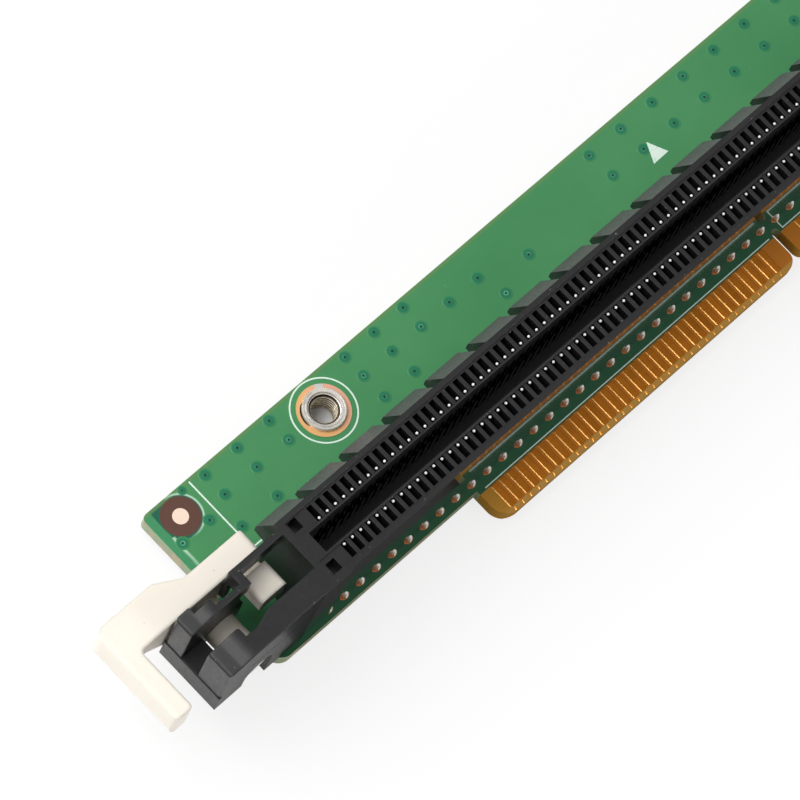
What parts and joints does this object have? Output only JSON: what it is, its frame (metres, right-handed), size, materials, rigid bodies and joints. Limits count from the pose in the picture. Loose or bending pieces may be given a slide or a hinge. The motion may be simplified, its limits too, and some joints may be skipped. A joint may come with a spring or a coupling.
{
  "type": "riser card",
  "caption": "Riser card with an edge tongue, a long card slot, a threaded insert and a pivoting retention latch.",
  "frame": {"origin": "centre of the slot's key on the board's front face", "axes": "+X along the slot from the latch towards the key, +Y across the board away from the edge tongue, +Z out of the front face"},
  "size_m": [0.114, 0.0213, 0.0139],
  "materials": {
    "mask": "gloss",
    "gold": "polished",
    "spring_gold": "polished",
    "tinned": "satin",
    "copper": "satin",
    "insert_steel": "satin",
    "black_moulding": "satin",
    "white_moulding": "satin",
    "solder": "polished"
  },
  "bodies": {
    "root": {"circuit_board": "mask", "alignment_target": "tinned", "edge_fingers_front_long": "gold", "edge_fingers_front_short": "gold", "edge_fingers_back_long": "gold", "edge_fingers_back_short": "gold", "insert_pad_front": "copper", "insert_pad_back": "copper", "threaded_insert": "insert_steel", "slot_housing": "black_moulding", "solder_joints_front": "solder", "contacts_near_outer": "spring_gold", "contacts_near_inner": "spring_gold", "contacts_far_outer": "spring_gold", "contacts_far_inner": "spring_gold", "solder_joints_near_outer": "solder", "solder_joints_near_inner": "solder", "solder_joints_far_outer": "solder", "solder_joints_far_inner": "solder"},
    "lever": {"latch_lever": "white_moulding"}
  },
  "joints": [
    {"name": "latch", "type": "hinge", "parent": "root", "child": "lever", "pos_m": [-0.08235, 0, 0.0039], "axis": [0, -1, 0], "range_deg": [0, 10]}
  ]
}
